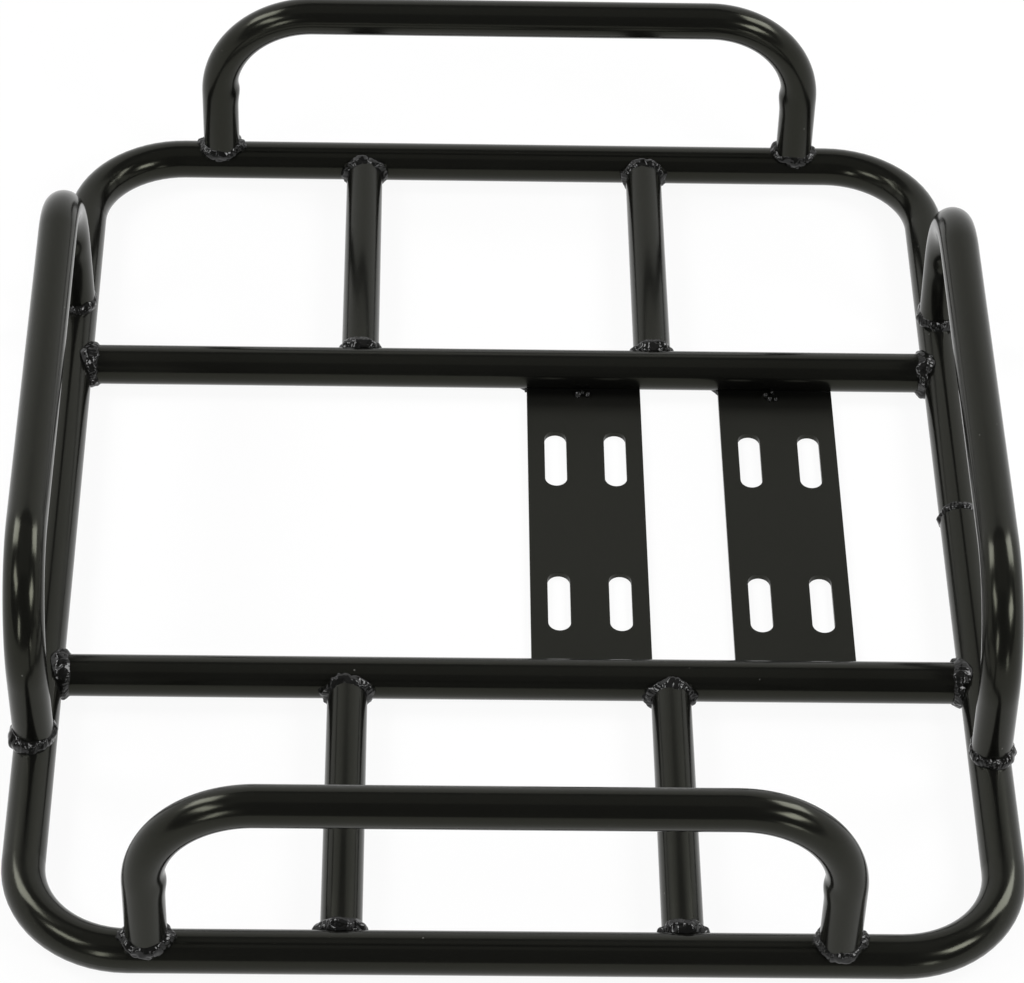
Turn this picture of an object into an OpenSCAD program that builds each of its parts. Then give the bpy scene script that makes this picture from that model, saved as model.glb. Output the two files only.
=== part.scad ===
// Scooter delivery box rack: a welded frame of bent and straight round steel tube.
// A closed ring lies flat, two crossbars and four stubs stiffen it, four U hoops stand
// on it as guard rails, and two slotted plates bolt it to the vehicle.
// The origin is at the middle of the ring, on the surface that the rack lies on.

/* [Tube stock] */
// Outside diameter of the tube of the ring and the two crossbars
main_od = 20; // [16:0.5:26]
// Outside diameter of the tube of the stubs and the hoops
small_od = 19; // [12:0.5:22]
// Wall thickness of every tube
tube_wall = 1.5; // [1:0.1:3]

/* [Ring] */
// Width of the ring over the outside of its tube, left to right
ring_width = 465; // [420:1:600]
// Depth of the ring over the outside of its tube, near to far
ring_depth = 568; // [520:1:700]
// Centreline radius of the ring's four corner bends
ring_bend_r = 50; // [35:1:60]
// Place of the butt joint along the ring's right side
ring_joint_y = 4; // [-60:1:60]
// Root gap left between the two ends of the ring tube
ring_joint_gap = 1.2; // [0.6:0.1:3]

/* [Crossbars] */
// Distance between the centrelines of the far crossbar and of the ring's far side
far_bar_inset = 164; // [145:1:180]
// Distance between the centrelines of the near crossbar and of the ring's near side
near_bar_inset = 167; // [145:1:180]

/* [Stubs] */
// Place of the far left stub's centreline
far_left_stub_x = -76; // [-120:1:-40]
// Place of the far right stub's centreline
far_right_stub_x = 74; // [40:1:120]
// Place of the near left stub's centreline
near_left_stub_x = -78; // [-120:1:-40]
// Place of the near right stub's centreline
near_right_stub_x = 75; // [40:1:120]

/* [Hoops] */
// Height of a hoop's top rail above the ring, centreline to centreline
hoop_rise = 98; // [75:1:160]
// Centreline radius of the two bends of a hoop
hoop_bend_r = 50; // [35:1:60]
// Distance from the start of a corner bend in to the leg of a centred far or near hoop
end_hoop_inset = 18.5; // [16:0.5:50]
// Distance from the start of a corner bend in to the leg of a centred left or right hoop
side_hoop_inset = 73; // [40:1:100]
// Middle of the far hoop, left to right
far_hoop_x = 1; // [-15:1:15]
// Middle of the near hoop, left to right
near_hoop_x = -10; // [-15:1:15]
// Middle of the left hoop, near to far
left_hoop_y = -2; // [-15:1:15]
// Middle of the right hoop, near to far
right_hoop_y = -7; // [-15:1:15]
// Lean of the left hoop to the left, in degrees
left_hoop_lean = 1.1; // [-3:0.1:3]
// Lean of the right hoop to the left, in degrees
right_hoop_lean = 1.1; // [-3:0.1:3]

/* [Slotted plates] */
// Width of a slotted plate
plate_width = 58; // [50:1:70]
// Thickness of a slotted plate
plate_thickness = 3; // [2:0.5:5]
// Place of the middle of the inner plate, which is nearest the middle of the rack
inner_plate_x = 38.5; // [31:0.5:45]
// Place of the middle of the outer plate
outer_plate_x = 136.5; // [115:0.5:150]
// Width of a slot
slot_width = 11; // [6:0.5:14]
// Length of a slot over its round ends
slot_length = 39; // [20:1:50]
// Distance between the two slots side by side
slot_pitch = 30; // [20:0.5:34]
// Distance between the two slots in line
slot_spacing = 100; // [70:1:110]

/* [Welds] */
// Height that a weld bead climbs up the branch tube
bead_climb = 3.2; // [2:0.1:5]
// Distance that a weld bead runs out along the main tube
bead_runout = 3.4; // [2:0.1:5]
// Thickness of a weld bead over the tube's surface
bead_crown = 1.8; // [1:0.1:3]
// Size of a weld tack on a slotted plate
tack_size = 7; // [4:0.5:9]
// Size of the bead that ends at the left corner of a slotted plate
corner_size = 10; // [7:0.5:12]

/* [Fit] */
// Fit-up gap between a square-cut tube or plate and the tube that it meets
fit_gap = 0.3; // [0.2:0.05:0.5]
// Clearance drawn between a weld bead and the metal that it joins
bead_gap = 0.1; // [0.05:0.01:0.12]

/* [Hidden] */
$fn = 96;
black = "#26272a";
weld_black = "#1d1e20";
main_r = main_od / 2;
small_r = small_od / 2;
ring_x = ring_width / 2 - main_r;
ring_y = ring_depth / 2 - main_r;
rail_z = main_r;
far_bar_y = ring_y - far_bar_inset;
near_bar_y = near_bar_inset - ring_y;
end_hoop_span = 2 * (ring_x - ring_bend_r - end_hoop_inset);
side_hoop_span = 2 * (ring_y - ring_bend_r - side_hoop_inset);
bead_steps = 36;

// Cross-section of a tube
module tube_section(r) {
  difference() {
    circle(r);
    circle(r - tube_wall);
  }
}

// Straight tube that starts at the origin and runs up along Z
module straight_tube(r, length) {
  linear_extrude(length) tube_section(r);
}

// Quarter bend in the XY plane about the origin, from +X round to +Y
module quarter_bend(r, bend_r) {
  rotate_extrude(angle = 90) translate([bend_r, 0]) tube_section(r);
}

// Straight tube along X, centred on the origin
module tube_along_x(r, length) {
  translate([-length / 2, 0, 0]) rotate([0, 90, 0]) straight_tube(r, length);
}

// Straight tube along Y between two places
module tube_along_y(r, from_y, to_y) {
  translate([0, from_y, 0]) rotate([-90, 0, 0]) straight_tube(r, to_y - from_y);
}

// One tube bent to a rounded rectangle, with its two ends facing each other on the right side
module perimeter_ring() {
  half_x = ring_x - ring_bend_r;
  half_y = ring_y - ring_bend_r;
  color(black) translate([0, 0, rail_z]) {
    for (side = [-1, 1]) {
      translate([0, side * ring_y, 0]) tube_along_x(main_r, 2 * half_x);
    }
    translate([-ring_x, 0, 0]) tube_along_y(main_r, -half_y, half_y);
    translate([ring_x, 0, 0]) {
      tube_along_y(main_r, -half_y, ring_joint_y - ring_joint_gap / 2);
      tube_along_y(main_r, ring_joint_y + ring_joint_gap / 2, half_y);
    }
    for (corner = [0 : 3]) {
      sx = (corner == 0 || corner == 3) ? 1 : -1;
      sy = corner < 2 ? 1 : -1;
      translate([sx * half_x, sy * half_y, 0]) rotate([0, 0, corner * 90])
        quarter_bend(main_r, ring_bend_r);
    }
  }
}

// Square-cut tube between the ring's two sides
module crossbar(y) {
  length = 2 * (ring_x - main_r - fit_gap);
  color(black) translate([0, y, rail_z]) tube_along_x(main_r, length);
}

// Square-cut tube between a crossbar and the ring, both of the main tube
module stub(x, from_y, to_y) {
  reach = main_r + fit_gap;
  color(black) translate([x, 0, rail_z]) tube_along_y(small_r, from_y + reach, to_y - reach);
}

// U hoop in the XZ plane, its legs square cut just above the ring, its top rail along X
module hoop(span) {
  half = span / 2 - hoop_bend_r;
  foot = main_r + fit_gap;
  shoulder = hoop_rise - hoop_bend_r;
  color(black) {
    translate([0, 0, hoop_rise]) tube_along_x(small_r, 2 * half);
    for (side = [0, 1]) mirror([side, 0, 0]) {
      translate([half, 0, shoulder]) rotate([90, 0, 0]) quarter_bend(small_r, hoop_bend_r);
      translate([span / 2, 0, foot]) straight_tube(small_r, shoulder - foot);
    }
  }
}

// Hoop on the far or the near side of the ring
module end_hoop(x, y) {
  translate([x, y, rail_z]) hoop(end_hoop_span);
}

// Hoop on the left or the right side of the ring, leaning about the ring tube's centreline
module side_hoop(x, y, lean) {
  translate([x, y, rail_z]) rotate([0, -lean, 0]) rotate([0, 0, 90]) hoop(side_hoop_span);
}

// Slot along Y with round ends, cut through a plate
module slot() {
  straight = slot_length - slot_width;
  depth = plate_thickness + 2;
  translate([0, 0, -1]) {
    for (end = [-1, 1]) translate([0, end * straight / 2, 0]) cylinder(r = slot_width / 2, h = depth);
    translate([-slot_width / 2, -straight / 2, 0]) cube([slot_width, straight, depth]);
  }
}

// How far in front of a crossbar's centreline a plate that lies flush with its underside ends
function plate_setback() =
  sqrt(pow(main_r, 2) - pow(main_r - plate_thickness, 2)) + fit_gap;

// Flat strip between the crossbars, flush with their undersides, with two pairs of slots
module slotted_plate(x) {
  start = near_bar_y + plate_setback();
  end = far_bar_y - plate_setback();
  middle = (start + end) / 2;
  color(black) translate([x, 0, 0]) difference() {
    translate([-plate_width / 2, start, 0]) cube([plate_width, end - start, plate_thickness]);
    for (sx = [-1, 1], sy = [-1, 1]) {
      translate([sx * slot_pitch / 2, middle + sy * slot_spacing / 2, 0]) slot();
    }
  }
}

// Height of the ripple of a weld bead, as a share of its crown, at step i round the joint
function ripple(i) = 1 + 0.16 * cos(i * 130) + 0.1 * sin(i * 57);

// Height of the main tube's surface over its own centreline, at a distance y from it
function saddle(y) = sqrt(pow(main_r, 2) - pow(y, 2)) + bead_gap;

// One section of the bead that closes the wedge between a square-cut branch tube
// and the round main tube, at angle a round the branch and step i
function joint_section(r, a, i) =
  let (
    reach = 0.93 * min(r, main_r),
    toe_x = r + bead_runout * ripple(i),
    root = min(r - 0.9 * tube_wall, 0.9 * reach),
    cut = main_r + fit_gap - bead_gap,
    top = main_r + fit_gap + bead_climb * ripple(i + 1),
    toe_y = reach * sin(a),
    toe_z = saddle(toe_y),
    out = r + bead_gap,
    full = r + bead_crown * ripple(i)
  ) [
    [root * cos(a), root * sin(a), saddle(root * sin(a))],
    [toe_x * cos(a), toe_y, toe_z],
    [(full + bead_runout * 0.55 * abs(cos(a))) * cos(a), (full - 0.5) * sin(a), toe_z * 0.62 + cut * 0.38],
    [(full + bead_runout * 0.2 * abs(cos(a))) * cos(a), full * sin(a), toe_z * 0.2 + cut * 0.8 + 0.4],
    [full * cos(a) * 0.97, full * sin(a) * 0.97, cut * 0.3 + top * 0.7],
    [out * cos(a), out * sin(a), top],
    [out * cos(a), out * sin(a), cut],
    [root * cos(a), root * sin(a), cut]
  ];

// Closes a loop of sections into one solid
module swept_ring(sections) {
  steps = len(sections);
  points = len(sections[0]);
  polyhedron(
    points = [for (s = sections) for (p = s) p],
    faces = [
      for (i = [0 : steps - 1]) for (j = [0 : points - 1]) for (half = [0, 1])
        let (
          next_i = (i + 1) % steps,
          next_j = (j + 1) % points,
          a = i * points + j,
          b = next_i * points + j,
          c = next_i * points + next_j,
          d = i * points + next_j
        ) half == 0 ? [a, c, b] : [a, d, c]
    ]
  );
}

// Bead round the square-cut end of a branch tube that stands up from a main tube along X
module joint_bead(r) {
  color(weld_black) swept_ring([
    for (i = [0 : bead_steps - 1]) joint_section(r, i * 360 / bead_steps, i)
  ]);
}

// Dresses a bead flush with the underside of the tubes, so the rack lies flat
module dressed_flush() {
  difference() {
    children();
    translate([-ring_width, -ring_depth, -2 * main_r]) cube([2 * ring_width, 2 * ring_depth, 2 * main_r]);
  }
}

// Bead where a crossbar meets the ring; side is -1 for the left end and 1 for the right end
module crossbar_weld(y, side) {
  color(weld_black) dressed_flush() translate([side * ring_x, y, rail_z])
    rotate([0, -90 * side, 0]) rotate([0, 0, 90]) joint_bead(main_r);
}

// Bead where a stub meets a tube along X; the stub runs off towards way, -1 near or 1 far
module stub_weld(x, y, way) {
  color(weld_black) dressed_flush() translate([x, y, rail_z]) rotate([-90 * way, 0, 0]) joint_bead(small_r);
}

// Bead round a leg of the far or the near hoop
module end_hoop_weld(x, y, side) {
  translate([x + side * end_hoop_span / 2, y, rail_z]) joint_bead(small_r);
}

// Bead round a leg of the left or the right hoop
module side_hoop_weld(x, y, side, lean) {
  translate([x, y + side * side_hoop_span / 2, rail_z]) rotate([0, -lean, 0]) rotate([0, 0, 90])
    joint_bead(small_r);
}

// Section of the bead round the ring's butt joint, at angle a and step i
function butt_section(a, i) =
  let (
    half = 2.6 * ripple(i + 2),
    crown = main_r + 0.75 * bead_crown * ripple(i),
    low = main_r + bead_gap,
    root = ring_joint_gap / 2 - bead_gap,
    outline = [
      [low, -half], [crown - 0.4, -0.55 * half], [crown, 0], [crown - 0.4, 0.55 * half], [low, half],
      [low, root], [main_r - 0.7 * tube_wall, root], [main_r - 0.7 * tube_wall, -root], [low, -root]
    ]
  ) [for (p = outline) [p[0] * cos(a), -p[1], p[0] * sin(a)]];

// Bead round the ring's butt joint
module ring_butt_weld() {
  color(weld_black) dressed_flush() translate([ring_x, ring_joint_y, rail_z])
    swept_ring([for (i = [0 : bead_steps - 1]) butt_section(i * 360 / bead_steps, i)]);
}

// Domed tack of weld metal that stands on a plate
module tack(size) {
  difference() {
    translate([0, 0, -size * 0.15]) sphere(d = size, $fn = 32);
    translate([-size, -size, -2 * size]) cube([2 * size, 2 * size, 2 * size]);
  }
}

// Lump where the groove run ends, outside the left corner of a plate
module corner_lump() {
  edge = plate_width / 2 + bead_gap;
  deep = plate_setback() - bead_gap;
  difference() {
    translate([-edge, -deep + 0.1 * corner_size, 0]) sphere(d = corner_size, $fn = 48);
    translate([-edge, -deep - corner_size, -corner_size]) cube([corner_size, corner_size, 2 * corner_size]);
    translate([-edge - corner_size, -deep - corner_size, -corner_size])
      cube([2 * corner_size, 2 * corner_size + deep, corner_size]);
  }
}

// Weld at one end of a plate: a run in the groove under the crossbar that ends in a lump at
// the left corner, and a tack in the middle of the upper corner; way is 1 at the far end
module plate_weld(x, bar_y, way) {
  color(weld_black) translate([x, bar_y, 0]) mirror([0, way == 1 ? 0 : 1, 0]) difference() {
    union() {
      translate([-plate_width / 2 - 1, -plate_setback() + bead_gap, 0.1])
        cube([plate_width + 1, plate_setback() - 0.2 * main_r, plate_thickness - 0.2]);
      if (way == 1) corner_lump();
      translate([0, -plate_setback() - tack_size * 0.18, plate_thickness + bead_gap]) tack(tack_size);
    }
    translate([0, 0, rail_z]) rotate([0, 90, 0])
      cylinder(r = main_r + bead_gap, h = plate_width * 2, center = true);
  }
}

perimeter_ring();
crossbar(far_bar_y);  // far_crossbar
crossbar(near_bar_y);  // near_crossbar
stub(far_left_stub_x, far_bar_y, ring_y);  // far_left_stub
stub(far_right_stub_x, far_bar_y, ring_y);  // far_right_stub
stub(near_left_stub_x, -ring_y, near_bar_y);  // near_left_stub
stub(near_right_stub_x, -ring_y, near_bar_y);  // near_right_stub
end_hoop(far_hoop_x, ring_y);  // far_hoop
end_hoop(near_hoop_x, -ring_y);  // near_hoop
side_hoop(-ring_x, left_hoop_y, left_hoop_lean);  // left_hoop
side_hoop(ring_x, right_hoop_y, right_hoop_lean);  // right_hoop
slotted_plate(inner_plate_x);  // inner_slotted_plate
slotted_plate(outer_plate_x);  // outer_slotted_plate
ring_butt_weld();
crossbar_weld(far_bar_y, -1);  // far_crossbar_left_weld
crossbar_weld(far_bar_y, 1);  // far_crossbar_right_weld
crossbar_weld(near_bar_y, -1);  // near_crossbar_left_weld
crossbar_weld(near_bar_y, 1);  // near_crossbar_right_weld
stub_weld(far_left_stub_x, ring_y, -1);  // far_left_stub_ring_weld
stub_weld(far_left_stub_x, far_bar_y, 1);  // far_left_stub_bar_weld
stub_weld(far_right_stub_x, ring_y, -1);  // far_right_stub_ring_weld
stub_weld(far_right_stub_x, far_bar_y, 1);  // far_right_stub_bar_weld
stub_weld(near_left_stub_x, -ring_y, 1);  // near_left_stub_ring_weld
stub_weld(near_left_stub_x, near_bar_y, -1);  // near_left_stub_bar_weld
stub_weld(near_right_stub_x, -ring_y, 1);  // near_right_stub_ring_weld
stub_weld(near_right_stub_x, near_bar_y, -1);  // near_right_stub_bar_weld
end_hoop_weld(far_hoop_x, ring_y, -1);  // far_hoop_left_weld
end_hoop_weld(far_hoop_x, ring_y, 1);  // far_hoop_right_weld
end_hoop_weld(near_hoop_x, -ring_y, -1);  // near_hoop_left_weld
end_hoop_weld(near_hoop_x, -ring_y, 1);  // near_hoop_right_weld
side_hoop_weld(-ring_x, left_hoop_y, 1, left_hoop_lean);  // left_hoop_far_weld
side_hoop_weld(-ring_x, left_hoop_y, -1, left_hoop_lean);  // left_hoop_near_weld
side_hoop_weld(ring_x, right_hoop_y, 1, right_hoop_lean);  // right_hoop_far_weld
side_hoop_weld(ring_x, right_hoop_y, -1, right_hoop_lean);  // right_hoop_near_weld
plate_weld(inner_plate_x, far_bar_y, 1);  // inner_plate_far_weld
plate_weld(inner_plate_x, near_bar_y, -1);  // inner_plate_near_weld
plate_weld(outer_plate_x, far_bar_y, 1);  // outer_plate_far_weld
plate_weld(outer_plate_x, near_bar_y, -1);  // outer_plate_near_weld
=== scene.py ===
import math

import bmesh
import bpy
from mathutils import Matrix, Vector, noise


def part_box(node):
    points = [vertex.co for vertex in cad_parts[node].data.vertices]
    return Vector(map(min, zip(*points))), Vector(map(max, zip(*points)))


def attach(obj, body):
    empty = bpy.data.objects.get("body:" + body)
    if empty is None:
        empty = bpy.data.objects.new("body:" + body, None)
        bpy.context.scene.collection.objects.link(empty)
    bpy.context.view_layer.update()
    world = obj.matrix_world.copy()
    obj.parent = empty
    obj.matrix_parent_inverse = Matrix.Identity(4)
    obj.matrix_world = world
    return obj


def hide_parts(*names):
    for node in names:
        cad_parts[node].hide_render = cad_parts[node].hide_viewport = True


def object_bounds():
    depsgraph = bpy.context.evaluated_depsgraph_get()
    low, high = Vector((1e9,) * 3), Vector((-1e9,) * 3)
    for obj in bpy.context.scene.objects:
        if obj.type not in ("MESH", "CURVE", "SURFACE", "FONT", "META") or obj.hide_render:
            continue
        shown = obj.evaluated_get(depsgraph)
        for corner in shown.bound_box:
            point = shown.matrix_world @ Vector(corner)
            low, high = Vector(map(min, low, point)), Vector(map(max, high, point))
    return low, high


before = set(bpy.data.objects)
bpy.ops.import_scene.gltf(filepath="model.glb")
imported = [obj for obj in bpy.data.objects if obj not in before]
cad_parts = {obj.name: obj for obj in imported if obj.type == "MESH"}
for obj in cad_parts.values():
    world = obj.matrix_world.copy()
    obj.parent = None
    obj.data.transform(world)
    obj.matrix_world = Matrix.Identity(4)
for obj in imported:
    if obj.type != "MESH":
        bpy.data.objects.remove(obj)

cad_low, cad_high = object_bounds()

# Sizes in metres. What the frame shows is measured on it
MM = 0.001


def span(node, axis):
    """Length of a node along an axis."""
    low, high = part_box(node)
    return high[axis] - low[axis]


def middle(node, axis):
    """Middle of a node along an axis."""
    low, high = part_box(node)
    return (low[axis] + high[axis]) / 2


X, Y, Z = 0, 1, 2
MAIN_R = span("far_crossbar", Z) / 2
SMALL_R = span("far_left_stub", Z) / 2
TUBE_WALL = 1.5 * MM
FIT_GAP = 0.3 * MM
RAIL_Z = middle("perimeter_ring", Z)
RING_X = span("perimeter_ring", X) / 2 - MAIN_R
RING_Y = span("perimeter_ring", Y) / 2 - MAIN_R
HOOP_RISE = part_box("far_hoop")[1].z - SMALL_R - RAIL_Z
HOOP_BEND_R = 50 * MM
PLATE_THICKNESS = span("inner_slotted_plate", Z)
HOOPS = ("far_hoop", "near_hoop", "left_hoop", "right_hoop")
STUBS = ("far_left_stub", "far_right_stub", "near_left_stub", "near_right_stub")
CROSSBARS = ("far_crossbar", "near_crossbar")
PLATES = ("inner_slotted_plate", "outer_slotted_plate")

# The view of the photograph: place in metres, angles in radians, lens and sensor in millimetres
CAMERA_PLACE = Vector((-0.0458372, -1.4363412, 1.436248))
CAMERA_YAW = 0.03216
CAMERA_PITCH = 0.77465
CAMERA_ROLL = 0.0328
CAMERA_LENS = 144.377
CAMERA_SENSOR = 36.0


def make_camera():
    """Camera at the photograph's place, with its principal point in the middle of the image."""
    data = bpy.data.cameras.new("camera")
    data.lens = CAMERA_LENS
    data.sensor_width = CAMERA_SENSOR
    data.sensor_fit = "HORIZONTAL"
    data.clip_start = 0.05
    data.clip_end = 60
    camera = bpy.data.objects.new("camera", data)
    bpy.context.scene.collection.objects.link(camera)
    turn = Matrix.Rotation(-CAMERA_YAW, 4, "Z")
    tip = Matrix.Rotation(math.pi / 2 - CAMERA_PITCH, 4, "X")
    roll = Matrix.Rotation(CAMERA_ROLL, 4, "Z")
    camera.matrix_world = Matrix.Translation(CAMERA_PLACE) @ turn @ tip @ roll
    bpy.context.scene.camera = camera


# Node helpers


def add_node(tree, kind, **settings):
    """A new node with its settings and the constants of its named sockets."""
    node = tree.nodes.new(kind)
    for key, value in settings.items():
        if key == "sockets":
            for socket, constant in value.items():
                node.inputs[socket].default_value = constant
        else:
            setattr(node, key, value)
    return node


def start_group(name, inputs, outputs):
    """An empty node group with its sockets, and its input and output nodes."""
    group = bpy.data.node_groups.new(name, "ShaderNodeTree")
    for label, kind, value in inputs:
        socket = group.interface.new_socket(label, in_out="INPUT", socket_type=kind)
        if value is not None:
            socket.default_value = value
    for label, kind in outputs:
        group.interface.new_socket(label, in_out="OUTPUT", socket_type=kind)
    return group, group.nodes.new("NodeGroupInput"), group.nodes.new("NodeGroupOutput")


def coat_grain_group():
    """Orange peel of a powder coat: small soft bumps over a wider swell."""
    group, given, result = start_group(
        "coat_grain",
        [("Place", "NodeSocketVector", None), ("Bumps per metre", "NodeSocketFloat", 700.0),
         ("Swell", "NodeSocketFloat", 0.35)],
        [("Height", "NodeSocketFloat")],
    )
    fine = add_node(group, "ShaderNodeTexNoise", sockets={"Detail": 2.0, "Roughness": 0.45})
    wide = add_node(group, "ShaderNodeTexNoise", sockets={"Detail": 1.0})
    fewer = add_node(group, "ShaderNodeMath", operation="MULTIPLY", sockets={1: 0.27})
    blend = add_node(group, "ShaderNodeMix", data_type="FLOAT")
    link = group.links.new
    link(given.outputs["Place"], fine.inputs["Vector"])
    link(given.outputs["Place"], wide.inputs["Vector"])
    link(given.outputs["Bumps per metre"], fine.inputs["Scale"])
    link(given.outputs["Bumps per metre"], fewer.inputs[0])
    link(fewer.outputs[0], wide.inputs["Scale"])
    link(given.outputs["Swell"], blend.inputs["Factor"])
    link(fine.outputs["Fac"], blend.inputs["A"])
    link(wide.outputs["Fac"], blend.inputs["B"])
    link(blend.outputs["Result"], result.inputs["Height"])
    return group


def gloss_drift_group():
    """Roughness that drifts between two values over a few centimetres, with a finer mottle."""
    group, given, result = start_group(
        "gloss_drift",
        [("Place", "NodeSocketVector", None), ("Glossiest", "NodeSocketFloat", 0.25),
         ("Dullest", "NodeSocketFloat", 0.4)],
        [("Roughness", "NodeSocketFloat")],
    )
    drift = add_node(group, "ShaderNodeTexNoise", sockets={"Scale": 22.0, "Detail": 4.0, "Roughness": 0.6})
    spread = add_node(group, "ShaderNodeMapRange", sockets={"From Min": 0.32, "From Max": 0.68})
    link = group.links.new
    link(given.outputs["Place"], drift.inputs["Vector"])
    link(drift.outputs["Fac"], spread.inputs["Value"])
    link(given.outputs["Glossiest"], spread.inputs["To Min"])
    link(given.outputs["Dullest"], spread.inputs["To Max"])
    link(spread.outputs["Result"], result.inputs["Roughness"])
    return group


def dust_group():
    """Mask of small dust specks, most of the cells left clean."""
    group, given, result = start_group(
        "dust_specks",
        [("Place", "NodeSocketVector", None), ("Cells per metre", "NodeSocketFloat", 120.0),
         ("Speck", "NodeSocketFloat", 0.05), ("Share", "NodeSocketFloat", 0.1)],
        [("Mask", "NodeSocketFloat")],
    )
    cells = add_node(group, "ShaderNodeTexVoronoi", feature="F1")
    split = add_node(group, "ShaderNodeSeparateColor")
    inside = add_node(group, "ShaderNodeMath", operation="LESS_THAN")
    chosen = add_node(group, "ShaderNodeMath", operation="LESS_THAN")
    both = add_node(group, "ShaderNodeMath", operation="MULTIPLY")
    link = group.links.new
    link(given.outputs["Place"], cells.inputs["Vector"])
    link(given.outputs["Cells per metre"], cells.inputs["Scale"])
    link(cells.outputs["Color"], split.inputs["Color"])
    link(cells.outputs["Distance"], inside.inputs[0])
    link(given.outputs["Speck"], inside.inputs[1])
    link(split.outputs["Red"], chosen.inputs[0])
    link(given.outputs["Share"], chosen.inputs[1])
    link(inside.outputs[0], both.inputs[0])
    link(chosen.outputs[0], both.inputs[1])
    link(both.outputs[0], result.inputs["Mask"])
    return group


# Colours of the coat and of the dust on it, and the tints of its gloss
COAT_COLOUR = (0.0042, 0.0042, 0.0038, 1)
DUST_COLOUR = (0.09, 0.09, 0.085, 1)
OLIVE = (0.98, 1.0, 0.79, 1)
NEUTRAL = (1, 1, 1, 1)
# Each finish as its material's name, glossiest and dullest roughness, specular level, tint of the
# gloss, bumps per metre and height of the bumps
FINISHES = {
    "black_powder_coat": ("black powder coat", 0.15, 0.22, 0.25, OLIVE, 1100.0, 0.01 * MM),
    "coated_sheet": ("black powder coat on sheet", 0.34, 0.42, 0.25, OLIVE, 1100.0, 0.01 * MM),
    "coated_weld": ("black powder coat over weld", 0.1, 0.17, 0.31, NEUTRAL, 1300.0, 0.006 * MM),
}


def powder_coat(groups, name, glossiest, dullest, shine, shine_tint, bumps, bump_height):
    """Black powder coat: its grain, the drift of its gloss and a few specks of dust."""
    material = bpy.data.materials.new(name)
    material.use_nodes = True
    tree = material.node_tree
    shader = tree.nodes["Principled BSDF"]
    place = add_node(tree, "ShaderNodeTexCoord")
    grain = add_node(tree, "ShaderNodeGroup", node_tree=groups["grain"], sockets={"Bumps per metre": bumps})
    drift = add_node(
        tree, "ShaderNodeGroup", node_tree=groups["drift"],
        sockets={"Glossiest": glossiest, "Dullest": dullest}
    )
    dust = add_node(tree, "ShaderNodeGroup", node_tree=groups["dust"])
    colour = add_node(tree, "ShaderNodeMix", data_type="RGBA")
    colour.inputs["A"].default_value = COAT_COLOUR
    colour.inputs["B"].default_value = DUST_COLOUR
    bump = add_node(tree, "ShaderNodeBump", sockets={"Strength": 1.0, "Distance": bump_height})
    link = tree.links.new
    for node in (grain, drift, dust):
        link(place.outputs["Object"], node.inputs["Place"])
    link(dust.outputs["Mask"], colour.inputs["Factor"])
    link(colour.outputs["Result"], shader.inputs["Base Color"])
    link(drift.outputs["Roughness"], shader.inputs["Roughness"])
    link(grain.outputs["Height"], bump.inputs["Height"])
    link(bump.outputs["Normal"], shader.inputs["Normal"])
    shader.inputs["Specular IOR Level"].default_value = shine
    shader.inputs["Specular Tint"].default_value = shine_tint
    return material


def make_materials():
    """The materials of all finishes."""
    groups = {"grain": coat_grain_group(), "drift": gloss_drift_group(), "dust": dust_group()}
    return {finish: powder_coat(groups, *settings) for finish, settings in FINISHES.items()}


# Mesh helpers


def only(kind, geometry):
    """The elements of one kind in a bmesh operator's result."""
    return [element for element in geometry if isinstance(element, kind)]


def finish_piece(bm, name, slot, replaced, sharp_angle=40, finish=None):
    """Makes a bmesh the mesh of a new piece that rides on the rack and stands for CAD nodes.

    The finish is the slot's own where none is named.
    """
    bmesh.ops.recalc_face_normals(bm, faces=bm.faces)
    for face in bm.faces:
        face.smooth = True
    for edge in bm.edges:
        edge.smooth = not edge.is_manifold or edge.calc_face_angle(0) < math.radians(sharp_angle)
    mesh = bpy.data.meshes.new(name)
    bm.to_mesh(mesh)
    bm.free()
    piece = bpy.data.objects.new(name, mesh)
    bpy.context.scene.collection.objects.link(piece)
    mesh.materials.append(MATERIALS[finish or slot])
    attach(piece, "root")
    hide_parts(*replaced)
    return piece


# Bent tubes: sides of the round, and steps in a bend, in the plain part of a leg, in its part
# beside the bend, where the fold lies, and in the rail
ROUND = 64
BEND_STEPS = 36
LEG_STEPS = 6
FOLD_STEPS = 10
RAIL_STEPS = 24
FOLDED_LEG = 12 * MM


def start_rims(bm, radius, place):
    """The outer and the inner rim of a tube's end, as loose edges."""
    verts = []
    for rim in (radius, radius - TUBE_WALL):
        verts += bmesh.ops.create_circle(bm, segments=ROUND, radius=rim, matrix=place)["verts"]
    return list({edge for vert in verts for edge in vert.link_edges})


def run_straight(bm, edges, reach, steps):
    """Draws the open rims along a straight stretch, and gives back the new open rims."""
    for _ in range(steps):
        made = bmesh.ops.extrude_edge_only(bm, edges=edges)["geom"]
        bmesh.ops.translate(bm, verts=only(bmesh.types.BMVert, made), vec=reach / steps)
        edges = [edge for edge in only(bmesh.types.BMEdge, made) if edge.is_boundary]
    return edges


def run_bend(bm, edges, centre, axis, angle):
    """Turns the open rims round a bend, and gives back the new open rims."""
    verts = list({vert for edge in edges for vert in edge.verts})
    made = bmesh.ops.spin(
        bm, geom=verts + edges, cent=centre, axis=axis, angle=angle, steps=BEND_STEPS, use_duplicate=False
    )
    return only(bmesh.types.BMEdge, made["geom_last"])


# A hoop's bends are drawn a little flat, less on the inner side, and the bending die left a fold
# and a step inside each one
BEND_FLAT = 0.35 * MM
INNER_SHARE = 0.4
RAIL_MARGIN = 0.2 * HOOP_BEND_R
FOLD_HEIGHT = 1.0 * MM
FOLD_PLACE = 1.0 * MM
FOLD_LENGTH = 6.5 * MM
FOLD_STEP = 0.35 * MM


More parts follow.
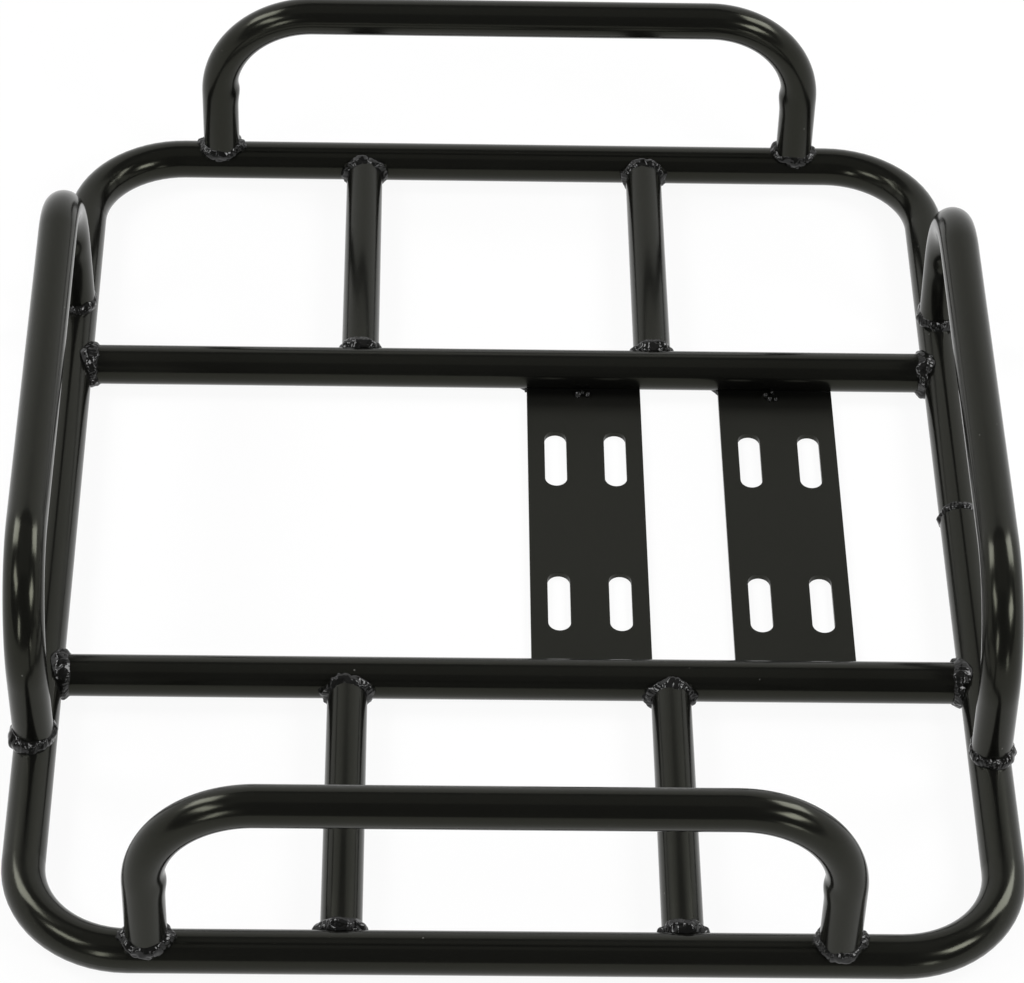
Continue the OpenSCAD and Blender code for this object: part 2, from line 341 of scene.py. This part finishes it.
def bell(value, width):
    """A smooth hump of height 1 round zero."""
    return math.exp(-((value / width) ** 2))


def ease(value):
    """Smooth step from 0 to 1."""
    value = min(max(value, 0), 1)
    return value * value * (3 - 2 * value)


def shape_bends(bm, half, shoulder, radius):
    """Flattens the bends of a hoop and raises the fold on the inner side of each leg's end."""
    for vert in bm.verts:
        side = 1 if vert.co.x > 0 else -1
        over = side * vert.co.x - half
        up = vert.co.z - shoulder
        if over <= -RAIL_MARGIN:
            continue
        turn = math.atan2(up, max(over, 1e-9)) if up > 0 else 0
        along = turn * HOOP_BEND_R if up > 0 else up
        distance = math.hypot(over, up) if up > 0 else over
        offset = distance - HOOP_BEND_R
        inner = max(-offset / radius, 0)
        outer = max(offset / radius, 0)
        move = BEND_FLAT * math.sin(2 * turn) * (INNER_SHARE * inner - outer)
        fold = FOLD_HEIGHT * bell(along - FOLD_PLACE, FOLD_LENGTH)
        step = FOLD_STEP * ease((along - FOLD_PLACE) / FOLD_LENGTH) * math.cos(turn) ** 2
        move += inner ** 2 * (step - fold)
        if up > 0:
            vert.co.x += side * move * math.cos(turn)
            vert.co.z += move * math.sin(turn)
        else:
            vert.co.x += side * move


def hoop_stand(node):
    """Place of a hoop, with its legs along its own X, and half the distance between its legs."""
    if span(node, X) > span(node, Y):
        side = 1 if middle(node, Y) > 0 else -1
        return Matrix.Translation((middle(node, X), side * RING_Y, RAIL_Z)), span(node, X) / 2 - SMALL_R
    side = 1 if middle(node, X) > 0 else -1
    way = 1 if middle(node, X) > side * RING_X else -1
    lean = way * math.asin((span(node, X) - 2 * SMALL_R) / (HOOP_RISE - MAIN_R - FIT_GAP))
    place = Matrix.Translation((side * RING_X, middle(node, Y), RAIL_Z))
    place = place @ Matrix.Rotation(lean, 4, "Y") @ Matrix.Rotation(math.pi / 2, 4, "Z")
    return place, span(node, Y) / 2 - SMALL_R


def make_hoop(node):
    """U hoop of bent tube that stands on the ring, in place of its CAD node."""
    place, leg = hoop_stand(node)
    half = leg - HOOP_BEND_R
    shoulder = HOOP_RISE - HOOP_BEND_R
    foot = MAIN_R + FIT_GAP
    plain_leg = Vector((0, 0, shoulder - foot - FOLDED_LEG))
    folded_leg = Vector((0, 0, FOLDED_LEG))
    bm = bmesh.new()
    start = start_rims(bm, SMALL_R, Matrix.Translation((leg, 0, foot)))
    edges = run_straight(bm, start, plain_leg, LEG_STEPS)
    edges = run_straight(bm, edges, folded_leg, FOLD_STEPS)
    edges = run_bend(bm, edges, (half, 0, shoulder), (0, -1, 0), math.pi / 2)
    edges = run_straight(bm, edges, Vector((-2 * half, 0, 0)), RAIL_STEPS)
    edges = run_bend(bm, edges, (-half, 0, shoulder), (0, -1, 0), math.pi / 2)
    edges = run_straight(bm, edges, -folded_leg, FOLD_STEPS)
    end = run_straight(bm, edges, -plain_leg, LEG_STEPS)
    bmesh.ops.bridge_loops(bm, edges=start)
    bmesh.ops.bridge_loops(bm, edges=end)
    shape_bends(bm, half, shoulder, SMALL_R)
    bmesh.ops.transform(bm, matrix=place, verts=bm.verts)
    finish_piece(bm, node + "_tube", "black_powder_coat", [node])


# Slotted plates: the round that the coat gives their edges
PLATE_EDGE = 0.45 * MM


def make_plate(node):
    """Slotted plate with its cut edges rounded by the coat."""
    bm = bmesh.new()
    bm.from_mesh(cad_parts[node].data)
    bmesh.ops.remove_doubles(bm, verts=bm.verts, dist=0.01 * MM)
    bmesh.ops.dissolve_limit(bm, angle_limit=math.radians(1), verts=bm.verts, edges=bm.edges)
    rims = [edge for edge in bm.edges if edge.calc_face_angle(0) > math.radians(60)]
    bmesh.ops.bevel(
        bm, geom=rims, offset=PLATE_EDGE, affect="EDGES", segments=3, profile=0.5, material=-1,
        clamp_overlap=True
    )
    name = node.replace("slotted_", "") + "_sheet"
    plate = finish_piece(bm, name, "black_powder_coat", [node], 100, "coated_sheet")
    plate.modifiers.new("even normals", "WEIGHTED_NORMAL")


# Weld beads: steps round a joint and round the section, angle of the section's two edges, and
# radius of the plain ring that becomes a bead
BEAD_STEPS = 216
BEAD_SECTION = 26
BEAD_TOE = math.radians(105)
BEAD_RING_R = 3 * MM

# Surface of the laid metal: crescent ripples that wander a little, lumps and grit
RIPPLE_PITCH = 2.3 * MM
RIPPLE_HEIGHT = 0.28 * MM
RIPPLE_CURVE = 1.1 * MM
RIPPLE_WANDER = 0.6
WANDERS_PER_METRE = 180
LUMP_HEIGHT = 0.9 * MM
LUMPS_PER_METRE = 330
GRIT_HEIGHT = 0.12 * MM
GRIT_PER_METRE = 760

# Form of a joint's bead: how far it runs out on the main tube and climbs the branch, how far its
# edge reaches round the main tube, how deep its edges are sunk, its crown over the saddle and what
# the flanks add to that, and its length against the branch's round
BEAD_RUNOUT = 3.4 * MM
BEAD_CLIMB = 3.3 * MM
TOE_REACH = 0.885
TOE_SUNK = 0.25 * MM
CREST_SUNK = 0.2 * MM
SADDLE_CROWN = 0.75 * MM
FLANK_CROWN = 1.25 * MM
BEAD_STRETCH = 1.2
# How unevenly the metal flowed, and how much each size of a joint's bead follows that
FLOW = 1.3
FLOW_TURNS = 1.9
RUNOUT_FLOW = 0.5
CLIMB_FLOW = 0.45
REACH_FLOW = 0.06
CROWN_FLOW = 0.35
SEED_SHIFT = (7.3, 1.9, 4.1)
HEAP_WIDTH = 0.45
# Heaps of metal where a bead starts or stops, as angle round the branch in degrees and extra size
HEAPS = {
    "left_hoop_near_weld": ((114, 2.1), (-70, 0.8)),
    "near_left_stub_bar_weld": ((160, 0.3),),
    "near_right_stub_bar_weld": ((165, 0.5),),
    "far_crossbar_right_weld": ((60, 0.8), (130, 0.7)),
    "right_hoop_near_weld": ((-120, 0.8),),
    "near_hoop_left_weld": ((-60, 0.7), (175, 0.5)),
}


def bead_ring(bm):
    """A ring of bead sections round Z, whose vertices are then moved onto the joint."""
    upright = Matrix.Translation((BEAD_RING_R, 0, 0)) @ Matrix.Rotation(math.pi / 2, 4, "X")
    section = bmesh.ops.create_circle(
        bm, segments=BEAD_SECTION, radius=BEAD_RING_R / 3, matrix=upright
    )["verts"]
    edges = list({edge for vert in section for edge in vert.link_edges})
    bmesh.ops.spin(
        bm, geom=section + edges, cent=(0, 0, 0), axis=(0, 0, 1), angle=2 * math.pi, steps=BEAD_STEPS,
        use_merge=True, use_duplicate=False
    )
    bmesh.ops.remove_doubles(bm, verts=bm.verts, dist=0.001 * MM)


def bead_angles(place):
    """Angle of a bead ring's vertex round the joint, and round the bead's section."""
    turn = math.atan2(place.y, place.x)
    return turn, math.atan2(place.z, math.hypot(place.x, place.y) - BEAD_RING_R)


def dress_flush(bm):
    """Keeps a bead inside the rack's box and off the ground, as if it were ground flush."""
    for vert in bm.verts:
        vert.co.x = min(max(vert.co.x, cad_low.x), cad_high.x)
        vert.co.y = min(max(vert.co.y, cad_low.y), cad_high.y)
        vert.co.z = max(vert.co.z, 0)


def weld_relief(seed, place, along, across):
    """Height of the laid metal at a place along and across the bead."""
    crescent = (2 * across - 1) ** 2 * RIPPLE_CURVE
    phase = (along + crescent) / RIPPLE_PITCH
    phase += RIPPLE_WANDER * noise.noise(place * WANDERS_PER_METRE + seed)
    ripple = abs(math.sin(math.pi * phase)) ** 0.7 - 0.6
    lump = noise.noise(place * LUMPS_PER_METRE + seed)
    grit = noise.noise(place * GRIT_PER_METRE - seed)
    return RIPPLE_HEIGHT * ripple + LUMP_HEIGHT * lump + GRIT_HEIGHT * grit


def joint_bead_point(turn, tilt, branch_r, seed, heaps):
    """Point of the bead that closes the wedge between a square-cut branch and the main tube."""
    flow = FLOW * noise.noise(Vector((math.cos(turn), math.sin(turn), 0)) * FLOW_TURNS + seed)
    flow_up = FLOW * noise.noise(Vector((math.cos(turn), math.sin(turn), 3)) * FLOW_TURNS + seed)
    for angle, gain in heaps:
        apart = math.remainder(turn - math.radians(angle), 2 * math.pi)
        flow += gain * bell(apart, HEAP_WIDTH)
        flow_up += gain * bell(apart, HEAP_WIDTH)
    flank = math.sin(turn) ** 2
    reach = TOE_REACH * min(branch_r, MAIN_R)
    toe_r = branch_r + BEAD_RUNOUT * (1 + RUNOUT_FLOW * flow)
    toe_y = reach * math.sin(turn) * (1 + REACH_FLOW * flow)
    sunk = MAIN_R - TOE_SUNK
    toe = Vector((toe_r * math.cos(turn), toe_y, math.sqrt(max(sunk ** 2 - toe_y ** 2, 0))))
    shin = branch_r - CREST_SUNK
    crest_z = MAIN_R + FIT_GAP + BEAD_CLIMB * (1 + CLIMB_FLOW * flow_up)
    crest = Vector((shin * math.cos(turn), shin * math.sin(turn), crest_z))
    root_r = branch_r - TUBE_WALL
    root = Vector((root_r * math.cos(turn), root_r * math.sin(turn), 0))
    root.z = (math.sqrt(max(MAIN_R ** 2 - root.y ** 2, 0)) + MAIN_R) / 2
    if abs(tilt) > BEAD_TOE:
        share = (math.pi - abs(tilt)) / (math.pi - BEAD_TOE)
        return root.lerp(crest if tilt > 0 else toe, share)
    across = (tilt + BEAD_TOE) / (2 * BEAD_TOE)
    chord = crest - toe
    outward = Vector((math.cos(turn), math.sin(turn), 0))
    outward -= chord * (outward.dot(chord) / chord.length_squared)
    outward = outward.normalized()
    crown = (SADDLE_CROWN + FLANK_CROWN * flank) * (1 + CROWN_FLOW * flow)
    dome = math.sin(math.pi * across)
    point = toe.lerp(crest, across) + outward * crown * dome
    along = turn * branch_r * BEAD_STRETCH
    return point + outward * weld_relief(seed, point, along, across) * dome ** 0.5


def make_joint_bead(node, place, branch_r, seed):
    """Bead round the end of a branch tube, which stands up along Z from a main tube along X."""
    bm = bmesh.new()
    bead_ring(bm)
    shift = Vector([seed * part for part in SEED_SHIFT])
    for vert in bm.verts:
        turn, tilt = bead_angles(vert.co)
        vert.co = joint_bead_point(turn, tilt, branch_r, shift, HEAPS.get(node, ()))
    bmesh.ops.transform(bm, matrix=place, verts=bm.verts)
    dress_flush(bm)
    finish_piece(bm, node + "_bead", "coated_weld", [node], 180)


def turned(x, y, z, *turns):
    """A place on the rack, turned by right angles about named axes, the last turn first."""
    place = Matrix.Translation((x, y, z))
    for axis, quarters in turns:
        place = place @ Matrix.Rotation(quarters * math.pi / 2, 4, axis)
    return place


def make_joint_beads():
    """Beads at the ends of the crossbars and the stubs and at the feet of the hoops."""
    seed = 1
    for bar in CROSSBARS:
        for side, label in ((-1, "left"), (1, "right")):
            place = turned(side * RING_X, middle(bar, Y), RAIL_Z, ("Y", -side), ("Z", 1))
            make_joint_bead(f"{bar}_{label}_weld", place, MAIN_R, seed)
            seed += 1
    for stub in STUBS:
        far = stub.startswith("far")
        bar_y = middle("far_crossbar" if far else "near_crossbar", Y)
        ring_y = RING_Y if far else -RING_Y
        for end, y, way in (("ring", ring_y, -1 if far else 1), ("bar", bar_y, 1 if far else -1)):
            place = turned(middle(stub, X), y, RAIL_Z, ("X", -way))
            make_joint_bead(f"{stub}_{end}_weld", place, SMALL_R, seed)
            seed += 1
    for hoop in HOOPS:
        stand, leg = hoop_stand(hoop)
        labels = ("left", "right") if span(hoop, X) > span(hoop, Y) else ("near", "far")
        for side, label in zip((-1, 1), labels):
            place = stand @ Matrix.Translation((side * leg, 0, 0))
            make_joint_bead(f"{hoop}_{label}_weld", place, SMALL_R, seed)
            seed += 1


# Bead of the ring's butt joint: half its width, its crown, how deep its edges and its root are
# sunk, and how its width and crown follow the flow
BUTT_HALF_WIDTH = 2.8 * MM
BUTT_CROWN = 1.2 * MM
BUTT_SUNK = 0.2 * MM
BUTT_ROOT = 0.5 * MM
BUTT_TURNS = 1.3
BUTT_WIDTH_FLOW = 0.35
BUTT_CROWN_FLOW = 0.3
BUTT_SEED = Vector((51, 12, 33))


def butt_bead_point(turn, tilt):
    """Point of the bead round the butt joint of a main tube that runs along Z."""
    outward = Vector((math.cos(turn), math.sin(turn), 0))
    flow = noise.noise(outward * BUTT_TURNS + BUTT_SEED)
    width = BUTT_HALF_WIDTH * (1 + BUTT_WIDTH_FLOW * flow)
    low = MAIN_R - BUTT_SUNK
    if abs(tilt) > BEAD_TOE:
        share = (math.pi - abs(tilt)) / (math.pi - BEAD_TOE)
        point = outward * (low - BUTT_ROOT * (1 - share))
        point.z = math.copysign(width, tilt) * share
        return point
    across = (tilt + BEAD_TOE) / (2 * BEAD_TOE)
    dome = math.sin(math.pi * across)
    point = outward * (low + BUTT_CROWN * (1 + BUTT_CROWN_FLOW * flow) * dome)
    point.z = width * (2 * across - 1)
    return point + outward * weld_relief(BUTT_SEED, point, turn * MAIN_R, across) * dome ** 0.5


def make_butt_bead():
    """Bead round the ring tube where its two ends meet."""
    node = "ring_butt_weld"
    bm = bmesh.new()
    bead_ring(bm)
    for vert in bm.verts:
        vert.co = butt_bead_point(*bead_angles(vert.co))
    place = turned(RING_X, middle(node, Y), RAIL_Z, ("X", 1))
    bmesh.ops.transform(bm, matrix=place, verts=bm.verts)
    dress_flush(bm)
    finish_piece(bm, node + "_bead", "coated_weld", [node], 180)


# Weld at a plate's end: depth of the run in the groove, how far its middle lies behind the plate's
# visible end, how far it stands out on the plate's left, and how it is sunk and rounded
RUN_DEPTH = 5.0 * MM
RUN_BEHIND = 2.4 * MM
RUN_ADDED = 1.0 * MM
RUN_SUNK = 0.2 * MM
RUN_EDGE = 0.3 * MM
# Lumps of the tack on each plate, as place from the middle of its visible end and size, in mm
TACKS = {
    "inner_slotted_plate": ((-2.7, -4.7, 2.2), (1.8, -4.6, 2.0), (-0.4, -2.8, 1.7)),
    "outer_slotted_plate": ((-4.9, -3.6, 2.3), (-1.2, -1.2, 1.9), (-2.7, -6.5, 1.8), (0.3, -6.4, 1.4)),
}
TACK_SHAPE = (0.8, 1.1, 1.0)
TACK_RISE = 0.2 * MM
TACK_UNEVEN = 0.5 * MM
TACK_BUMPS_PER_METRE = 420
# Length along the crossbar and depth out from under it of the fillet at each plate's left corner,
# how far behind the plate's visible end it starts, its root under the crossbar, its lap on the
# plate, and how it is sunk, curved and cut into faces
CORNER_FILLETS = {
    "inner_slotted_plate": (5.0 * MM, 3.6 * MM), "outer_slotted_plate": (4.6 * MM, 5.0 * MM),
}
FILLET_BEHIND = 3.4 * MM
FILLET_ROOT = 2.5 * MM
FILLET_LAP = 0.5 * MM
FILLET_SUNK = 0.3 * MM
FILLET_CURVE = 1.4
FILLET_CUTS = 10
PLATE_SEED_STEP = 3.1


def add_lump(bm, place, sizes, seed):
    """An uneven lump of weld metal with its half sizes along X, Y and Z."""
    shape = Matrix.Translation(place) @ Matrix.Diagonal((*sizes, 1))
    verts = bmesh.ops.create_icosphere(bm, subdivisions=5, radius=1.0, matrix=shape)["verts"]
    centre = Vector(place)
    for vert in verts:
        out = (vert.co - centre).normalized()
        bump = noise.noise(vert.co * TACK_BUMPS_PER_METRE + Vector((seed, 0, seed)))
        vert.co += out * TACK_UNEVEN * bump


def start_corner_fillet(bm, x, y, length, depth):
    """Hollow-sided fillet along a crossbar, left of a plate's corner at x and y, in an empty bmesh."""
    height = PLATE_THICKNESS - FILLET_SUNK
    shape = Matrix.Translation((0.5, 0.5, PLATE_THICKNESS / 2)) @ Matrix.Diagonal((1, 1, height, 1))
    verts = bmesh.ops.create_cube(bm, size=1, matrix=shape)["verts"]
    edges = list({edge for vert in verts for edge in vert.link_edges})
    bmesh.ops.subdivide_edges(bm, edges=edges, cuts=FILLET_CUTS, use_grid_fill=True)
    for vert in bm.verts:
        along = vert.co.x
        near = y - depth * along ** FILLET_CURVE
        vert.co.x = x + FILLET_LAP - length * (1 - along)
        vert.co.y = near + (y + FILLET_ROOT - near) * vert.co.y


def make_plate_bead(node, plate, bar, way, seed):
    """Weld at one end of a plate: a far end's corner fillet, the run in the groove and the tack."""
    bm = bmesh.new()
    width = span(plate, X)
    x = middle(plate, X)
    groove = way * (MAIN_R ** 2 - (MAIN_R - PLATE_THICKNESS) ** 2) ** 0.5
    edge = middle(bar, Y) - groove
    if way > 0:
        length, depth = CORNER_FILLETS[plate]
        start_corner_fillet(bm, x - width / 2, edge + FILLET_BEHIND, length, depth)
    place = Matrix.Translation((x - RUN_ADDED / 2, edge + way * RUN_BEHIND, PLATE_THICKNESS / 2))
    sizes = Matrix.Diagonal((width + RUN_ADDED, RUN_DEPTH, PLATE_THICKNESS - RUN_SUNK, 1))
    run = bmesh.ops.create_cube(bm, size=1, matrix=place @ sizes)["verts"]
    edges = list({side for vert in run for side in vert.link_edges})
    bmesh.ops.bevel(bm, geom=edges, offset=RUN_EDGE, affect="EDGES", segments=2, profile=0.5, material=-1)
    for dx, dy, size in TACKS[plate]:
        spot = (x + dx * MM, edge + way * dy * MM, PLATE_THICKNESS + TACK_RISE)
        add_lump(bm, spot, [share * size * MM for share in TACK_SHAPE], seed + dx)
    dress_flush(bm)
    finish_piece(bm, node + "_bead", "coated_weld", [node], 180)


def make_plate_beads():
    """Welds at both ends of both plates."""
    for seed, plate in enumerate(PLATES):
        for end, bar, way in (("far", "far_crossbar", 1), ("near", "near_crossbar", -1)):
            node = f"{plate.split('_')[0]}_plate_{end}_weld"
            make_plate_bead(node, plate, bar, way, PLATE_SEED_STEP * seed + way)


# Floor and backdrop, and the share of their white that shines by itself and takes no shadow
FLOOR_R = 3.6
FLOOR_DROP = 0.2 * MM
BACKDROP_HEIGHT = 4.1
SWEEP_R = 0.5
WHITE_SHARE = 0.92


def studio_white():
    """White that shows as the background and in the gloss, and still takes a faint shadow."""
    material = bpy.data.materials.new("studio white")
    material.use_nodes = True
    tree = material.node_tree
    tree.nodes.remove(tree.nodes["Principled BSDF"])
    lit = add_node(tree, "ShaderNodeBsdfDiffuse", sockets={"Color": (0.9, 0.9, 0.9, 1)})
    white = add_node(tree, "ShaderNodeEmission", sockets={"Color": (1, 1, 1, 1), "Strength": 1.0})
    ray = add_node(tree, "ShaderNodeLightPath")
    seen = add_node(tree, "ShaderNodeMath", operation="MAXIMUM")
    shown = add_node(tree, "ShaderNodeMath", operation="MAXIMUM")
    share = add_node(tree, "ShaderNodeMath", operation="MULTIPLY", sockets={1: WHITE_SHARE})
    mix = add_node(tree, "ShaderNodeMixShader")
    link = tree.links.new
    link(ray.outputs["Is Camera Ray"], seen.inputs[0])
    link(ray.outputs["Is Glossy Ray"], seen.inputs[1])
    link(seen.outputs[0], shown.inputs[0])
    link(ray.outputs["Is Transmission Ray"], shown.inputs[1])
    link(shown.outputs[0], share.inputs[0])
    link(share.outputs[0], mix.inputs["Fac"])
    link(lit.outputs[0], mix.inputs[1])
    link(white.outputs[0], mix.inputs[2])
    link(mix.outputs[0], tree.nodes["Material Output"].inputs["Surface"])
    return material


def make_studio():
    """Round white floor that sweeps up into a wall, tall behind the rack and gone in front of it."""
    bm = bmesh.new()
    floor = bmesh.ops.create_circle(bm, cap_ends=True, segments=96, radius=FLOOR_R)["verts"]
    edges = list({edge for vert in floor for edge in vert.link_edges})
    made = bmesh.ops.extrude_edge_only(bm, edges=edges)["geom"]
    bmesh.ops.translate(bm, verts=only(bmesh.types.BMVert, made), vec=(0, 0, BACKDROP_HEIGHT))
    bmesh.ops.bevel(bm, geom=edges, offset=SWEEP_R, affect="EDGES", segments=8, profile=0.5, material=-1)
    for vert in bm.verts:
        vert.co.z *= ease(0.5 + 0.5 * vert.co.y / FLOOR_R)
    bmesh.ops.recalc_face_normals(bm, faces=bm.faces)
    for face in bm.faces:
        face.smooth = True
    mesh = bpy.data.meshes.new("studio_floor")
    bm.to_mesh(mesh)
    bm.free()
    floor = bpy.data.objects.new("studio_floor", mesh)
    bpy.context.scene.collection.objects.link(floor)
    mesh.materials.append(studio_white())
    mesh.transform(Matrix.Translation((0, 0, -FLOOR_DROP)))


# Lamps as azimuth from the camera's side and height angle in degrees, width, height and radiance
LAMP_TARGET = Vector((0, 0, 0.08))
LAMP_DISTANCE = 2.2
LAMPS = {
    "front left softbox": (-60, 41, 0.8, 0.42, 10.5),
    "rear left softbox": (-113, 42, 0.75, 0.95, 9.5),
    "front right softbox": (54, 34, 0.75, 0.55, 12.5),
    "rear right softbox": (112, 40, 0.85, 0.95, 9.5),
    "low left strip": (-25, 16, 0.3, 0.6, 9.0),
    "low right strip": (27, 2, 0.3, 0.4, 6.0),
}
TOP_PANEL_PLACE = Vector((0, 0, 2.6))
TOP_PANEL_SIZE = 2.4
TOP_PANEL_RADIANCE = 0.2
AIR_LIGHT = 0.16


def make_light(name, place, width, height, radiance):
    """Rectangular soft light of an even radiance that faces the rack."""
    data = bpy.data.lights.new(name, "AREA")
    data.shape = "RECTANGLE"
    data.size = width
    data.size_y = height
    data.energy = radiance * math.pi * width * height
    light = bpy.data.objects.new(name, data)
    bpy.context.scene.collection.objects.link(light)
    aim = (LAMP_TARGET - place).to_track_quat("-Z", "Y")
    light.matrix_world = Matrix.Translation(place) @ aim.to_matrix().to_4x4()
    light.visible_camera = False


def make_lights():
    """Four softboxes round the rack, two low strips beside the camera and a faint panel above."""
    make_light("top panel", TOP_PANEL_PLACE, TOP_PANEL_SIZE, TOP_PANEL_SIZE, TOP_PANEL_RADIANCE)
    for name, (azimuth, rise, width, height, radiance) in LAMPS.items():
        turn = Matrix.Rotation(math.radians(azimuth), 3, "Z") @ Matrix.Rotation(-math.radians(rise), 3, "X")
        place = turn @ Vector((0, -LAMP_DISTANCE, 0)) + LAMP_TARGET
        make_light(name, place, width, height, radiance)
    world = bpy.data.worlds.new("studio air")
    bpy.context.scene.world = world
    world.use_nodes = True
    background = world.node_tree.nodes["Background"]
    background.inputs["Color"].default_value = (1, 1, 1, 1)
    background.inputs["Strength"].default_value = AIR_LIGHT


def paint_nodes():
    """The materials of the CAD nodes, by their slots."""
    for name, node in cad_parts.items():
        slot = "coated_weld" if name.endswith("weld") else "black_powder_coat"
        node.data.materials.clear()
        node.data.materials.append(MATERIALS[slot])


make_camera()
MATERIALS = make_materials()
paint_nodes()
for hoop in HOOPS:
    make_hoop(hoop)
for plate in PLATES:
    make_plate(plate)
make_joint_beads()
make_butt_bead()
make_plate_beads()
make_studio()
make_lights()
bpy.context.scene.view_settings.view_transform = "Standard"
